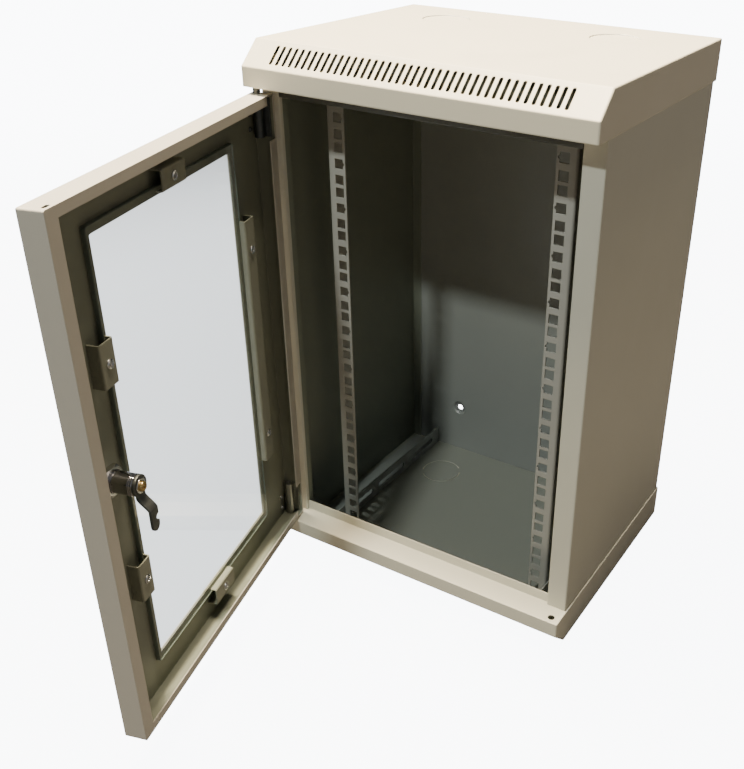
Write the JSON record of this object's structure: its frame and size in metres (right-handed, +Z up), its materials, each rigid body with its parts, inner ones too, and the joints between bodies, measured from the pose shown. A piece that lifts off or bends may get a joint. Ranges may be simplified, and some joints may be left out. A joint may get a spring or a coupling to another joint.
{
  "type": "wall-mounted network cabinet",
  "caption": "Small folded-steel network cabinet for narrow rack equipment, with a vented cover, slotted rails and a hinged glazed door with a cam lock, shown standing open.",
  "frame": {"origin": "centre of the cabinet's footprint, on the underside of the base tray", "axes": "+Z up, -Y towards the door, +X to the right seen from the front"},
  "size_m": [0.348, 0.5986, 0.55],
  "materials": {
    "powder_coat": "light grey powder coat with a fine orange-peel texture",
    "zinc_sheet": "zinc-plated pressed sheet",
    "zinc_fastener": "bright zinc plating",
    "nylon": "natural nylon",
    "clear_glass": "clear float glass",
    "foam_strip": "black foam rubber strip",
    "lock_chrome": "bright chrome plate",
    "cam_steel": "dark plated steel",
    "bolt_brass": "plain brass"
  },
  "bodies": {
    "cabinet": {"base_tray": "powder_coat", "top_cover": "powder_coat", "left_side_panel": "powder_coat", "right_side_panel": "powder_coat", "back_panel": "powder_coat", "front_header": "powder_coat", "lower_left_bracket": "powder_coat", "lower_right_bracket": "powder_coat", "upper_left_bracket": "powder_coat", "upper_right_bracket": "powder_coat", "left_rack_rail": "powder_coat", "right_rack_rail": "powder_coat", "rail_screws": "zinc_fastener", "rail_nuts": "zinc_fastener", "cover_studs": "zinc_fastener", "cover_nuts": "zinc_fastener", "hinge_washer": "nylon"},
    "door": {"door_pan": "powder_coat", "lower_hinge_bracket": "zinc_sheet", "upper_hinge_bracket": "zinc_sheet", "lower_hinge_pin": "zinc_fastener", "upper_hinge_pin": "zinc_fastener", "hinge_rivets": "zinc_fastener", "window_glass": "clear_glass", "glass_seal": "foam_strip", "upper_glass_clip": "zinc_sheet", "lower_glass_clip": "zinc_sheet", "top_glass_clip": "zinc_sheet", "bottom_glass_clip": "zinc_sheet", "hinge_side_glass_channel": "zinc_sheet", "clip_spacers": "zinc_fastener", "clip_screws": "zinc_fastener", "lock_housing": "lock_chrome", "lock_ring_nut": "lock_chrome"},
    "lock": {"lock_plug": "lock_chrome", "lock_cam": "cam_steel", "cam_bolt": "bolt_brass"}
  },
  "joints": [
    {"name": "door_hinge", "type": "hinge", "parent": "cabinet", "child": "door", "pos_m": [-0.1644, -0.13365, 0.2716], "axis": [0, 0, -1], "range_deg": [-74.1, 105.9]},
    {"name": "cam_turn", "type": "hinge", "parent": "door", "child": "lock", "pos_m": [-0.07096, -0.41314, 0.2746], "axis": [-0.9617, -0.274, 0], "range_deg": [0, 90]}
  ]
}
